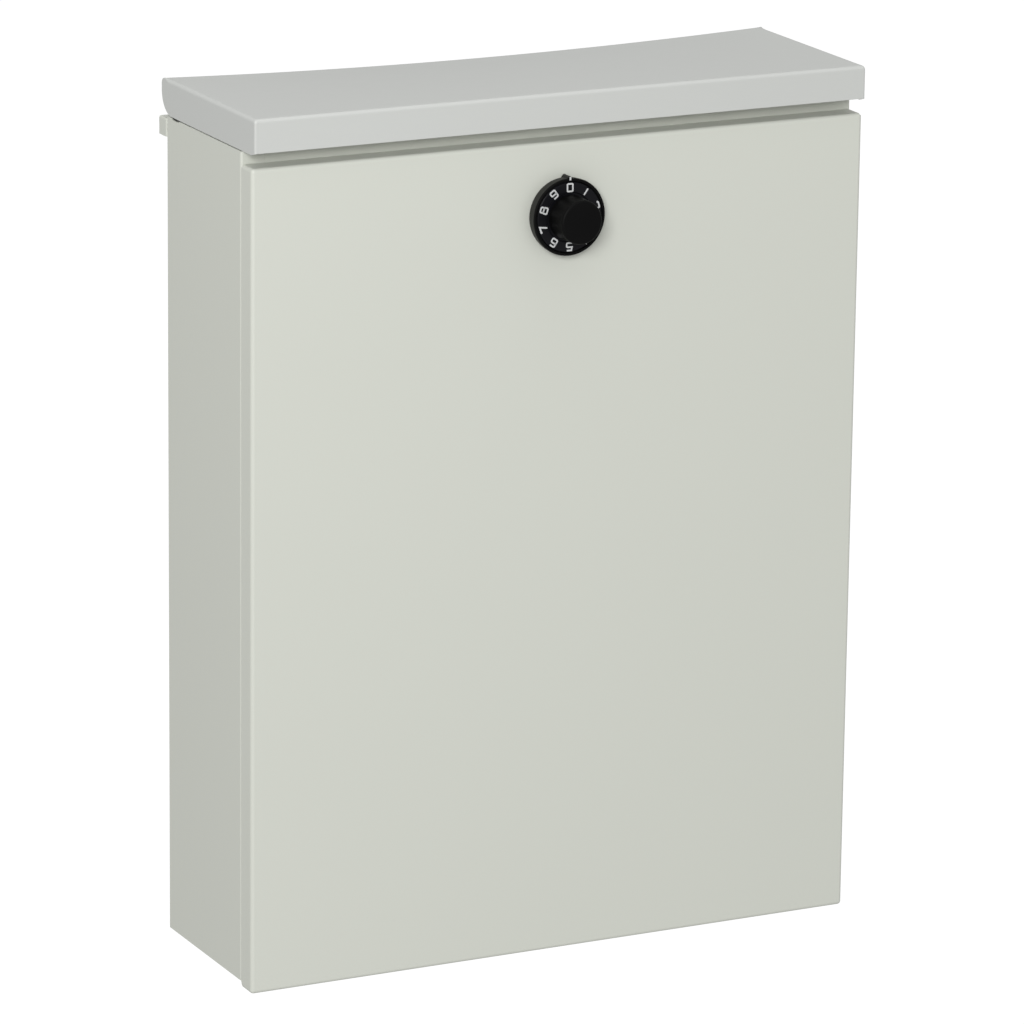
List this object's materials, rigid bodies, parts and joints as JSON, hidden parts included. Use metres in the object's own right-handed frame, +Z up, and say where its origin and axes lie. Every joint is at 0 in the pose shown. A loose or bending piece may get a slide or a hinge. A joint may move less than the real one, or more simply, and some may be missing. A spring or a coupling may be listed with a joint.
{
  "type": "key cabinet",
  "caption": "Wall key cabinet of folded painted steel with a flap lid over a drop slot, a drop-front door, a numbered dial lock and rows of key hooks inside.",
  "frame": {"origin": "middle of the hanging rail's back face, on the wall plane", "axes": "+X to the right seen from the front, +Y into the wall, +Z up"},
  "size_m": [0.32, 0.1283, 0.4237],
  "materials": {
    "powder_coat": "smooth semi-matt off-white powder coat",
    "black_plastic": "satin moulded black, numbers filled white",
    "zinc_plated_steel": "zinc plated",
    "lock_casting": "as cast, fine grain",
    "brass": "turned",
    "grey_rubber": "matt"
  },
  "bodies": {
    "cabinet": {"side_panel_left": "powder_coat", "side_panel_right": "powder_coat", "back_panel": "powder_coat", "bottom_panel": "powder_coat", "top_panel": "powder_coat", "drop_baffle": "powder_coat", "front_header": "powder_coat", "hanging_rail": "powder_coat", "wall_bumper_left": "grey_rubber", "wall_bumper_right": "grey_rubber", "floor_mat": "grey_rubber", "key_rail_1": "zinc_plated_steel", "key_rail_2": "zinc_plated_steel", "key_rail_3": "zinc_plated_steel", "key_rail_4": "zinc_plated_steel", "rail_screw_1": "zinc_plated_steel", "rail_screw_2": "zinc_plated_steel", "rail_screw_3": "zinc_plated_steel", "rail_screw_4": "zinc_plated_steel", "rail_screw_5": "zinc_plated_steel", "rail_screw_6": "zinc_plated_steel", "rail_screw_7": "zinc_plated_steel", "rail_screw_8": "zinc_plated_steel", "lid_bracket_left": "zinc_plated_steel", "lid_bracket_right": "zinc_plated_steel", "lid_bumper_left": "grey_rubber", "lid_bumper_right": "grey_rubber", "hinge_leaf_body": "zinc_plated_steel", "hinge_pin": "zinc_plated_steel"},
    "lid": {"lid_shell": "powder_coat", "lid_pivot_pin_left": "zinc_plated_steel", "lid_pivot_pin_right": "zinc_plated_steel"},
    "door": {"door_panel": "powder_coat", "hinge_leaf_door": "zinc_plated_steel", "lock_bezel": "black_plastic", "lock_case": "lock_casting", "lock_cover": "lock_casting", "wheel_post": "zinc_plated_steel", "wheel_spacer_1": "zinc_plated_steel", "wheel_spacer_2": "zinc_plated_steel", "case_screw_1": "zinc_plated_steel", "case_screw_2": "zinc_plated_steel", "cover_screw_1": "zinc_plated_steel", "cover_screw_2": "zinc_plated_steel", "cover_screw_3": "zinc_plated_steel", "cover_screw_4": "zinc_plated_steel"},
    "dial": {"dial_disc": "black_plastic", "dial_knob": "black_plastic", "spindle": "zinc_plated_steel", "drive_cam": "zinc_plated_steel"},
    "bolt": {"lock_bolt": "zinc_plated_steel"},
    "code_wheel_1": {"code_wheel_1": "brass"},
    "code_wheel_2": {"code_wheel_2": "brass"},
    "code_wheel_3": {"code_wheel_3": "brass"}
  },
  "joints": [
    {"name": "lid_hinge", "type": "hinge", "parent": "cabinet", "child": "lid", "pos_m": [0, -0.0145, 0.0173], "axis": [-1, 0, 0], "range_deg": [0, 94]},
    {"name": "door_hinge", "type": "hinge", "parent": "cabinet", "child": "door", "pos_m": [0, -0.0978, -0.3989], "axis": [1, 0, 0], "range_deg": [0, 150]},
    {"name": "dial_spin", "type": "hinge", "parent": "door", "child": "dial", "pos_m": [0, -0.108, -0.0356], "axis": [0, 1, 0], "continuous": true},
    {"name": "wheel_1_spin", "type": "hinge", "parent": "door", "child": "code_wheel_1", "pos_m": [0, -0.1037, -0.0356], "axis": [0, 1, 0], "continuous": true},
    {"name": "wheel_2_spin", "type": "hinge", "parent": "door", "child": "code_wheel_2", "pos_m": [0, -0.1011, -0.0356], "axis": [0, 1, 0], "continuous": true},
    {"name": "wheel_3_spin", "type": "hinge", "parent": "door", "child": "code_wheel_3", "pos_m": [0, -0.0985, -0.0356], "axis": [0, 1, 0], "continuous": true},
    {"name": "bolt_slide", "type": "slide", "parent": "door", "child": "bolt", "axis": [0, 0, 1], "range_m": [0, 0.0035]}
  ],
  "couplings": [
    {"joint": "wheel_1_spin", "follows": "dial_spin", "ratio": 1},
    {"joint": "wheel_2_spin", "follows": "dial_spin", "ratio": 1},
    {"joint": "wheel_3_spin", "follows": "dial_spin", "ratio": 1}
  ]
}
